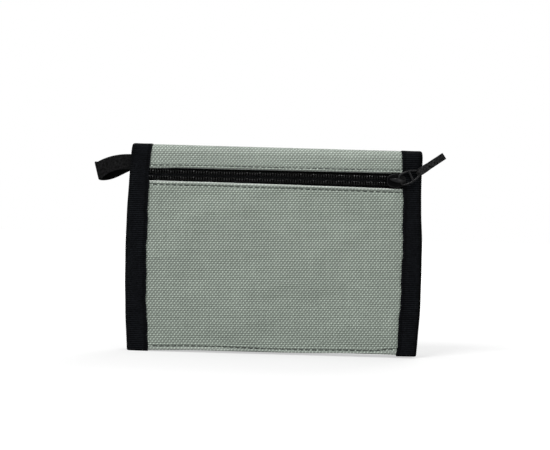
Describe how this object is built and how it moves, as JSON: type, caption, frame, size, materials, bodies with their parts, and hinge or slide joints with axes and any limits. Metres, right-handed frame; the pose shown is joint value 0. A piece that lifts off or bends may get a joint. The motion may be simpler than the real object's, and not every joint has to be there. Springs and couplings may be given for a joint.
{
  "type": "bifold wallet",
  "caption": "Canvas bifold wallet with taped side edges, an outside zip pocket with slider and pull, a side tape loop, and card and note pockets inside.",
  "frame": {"origin": "middle of the rear cover's outer face, halfway between the open edge and the fold", "axes": "+X along the fold, from the loop's side to the pull's side; +Y out of the rear cover; +Z from the open edge up to the fold. The zip pocket faces -Y."},
  "size_m": [0.1486, 0.0181, 0.087],
  "materials": {
    "canvas": "matt coarse plain weave",
    "lining": "matt thin nylon",
    "binding_tape": "matt ribbed tape",
    "zip_tape": "matt woven tape",
    "coil": "satin nylon coil",
    "slider_metal": "semi-gloss black paint",
    "pull_tape": "matt flat woven tape",
    "loop_pile": "soft looped pile",
    "hook_pile": "stiff hooked pile",
    "clear_film": "clear soft film"
  },
  "bodies": {
    "cover_half": {"cover_panel": "canvas", "cover_lining": "lining", "note_pocket_panel": "lining", "cover_card_panel": "canvas", "window_frame": "lining", "id_window": "clear_film", "loop_strip": "loop_pile", "cover_binding_left": "binding_tape", "cover_binding_right": "binding_tape"},
    "spine": {"spine_cover": "canvas", "spine_lining": "lining", "spine_binding_left": "binding_tape", "spine_binding_right": "binding_tape"},
    "zip_half": {"zip_panel": "canvas", "top_strip": "canvas", "upper_zip_tape": "zip_tape", "lower_zip_tape": "zip_tape", "upper_coil": "coil", "lower_coil": "coil", "pocket_lining": "lining", "rear_card_panel": "canvas", "front_card_panel": "canvas", "hook_strip": "hook_pile", "zip_binding_left": "binding_tape", "zip_binding_right": "binding_tape"},
    "slider": {"slider": "slider_metal"},
    "pull_frame": {"pull_frame": "slider_metal"},
    "pull_cord": {"pull_cord": "pull_tape"},
    "side_loop": {"side_loop": "binding_tape"}
  },
  "joints": [
    {"name": "spine_fold", "type": "hinge", "parent": "cover_half", "child": "spine", "pos_m": [0, 0, 0.0435], "axis": [-1, 0, 0], "range_deg": [0, 90]},
    {"name": "zip_half_fold", "type": "hinge", "parent": "spine", "child": "zip_half", "pos_m": [0, -0.015, 0.0435], "axis": [-1, 0, 0], "range_deg": [0, 90]},
    {"name": "zip_slide", "type": "slide", "parent": "zip_half", "child": "slider", "axis": [-1, 0, 0], "range_m": [0, 0.1]},
    {"name": "pull_swing", "type": "hinge", "parent": "slider", "child": "pull_frame", "pos_m": [0.0524, -0.01667, 0.0309], "axis": [0.4226, 0, -0.9063], "range_deg": [0, 130]},
    {"name": "cord_swing", "type": "hinge", "parent": "pull_frame", "child": "pull_cord", "pos_m": [0.06019, -0.01667, 0.03453], "axis": [0.4226, 0, -0.9063], "range_deg": [0, 50]},
    {"name": "loop_swing", "type": "hinge", "parent": "zip_half", "child": "side_loop", "pos_m": [-0.064, -0.01215, 0.0354], "axis": [0, 0, 1], "range_deg": [-70, 70]}
  ],
  "couplings": [
    {"joint": "zip_half_fold", "follows": "spine_fold", "ratio": 1}
  ]
}
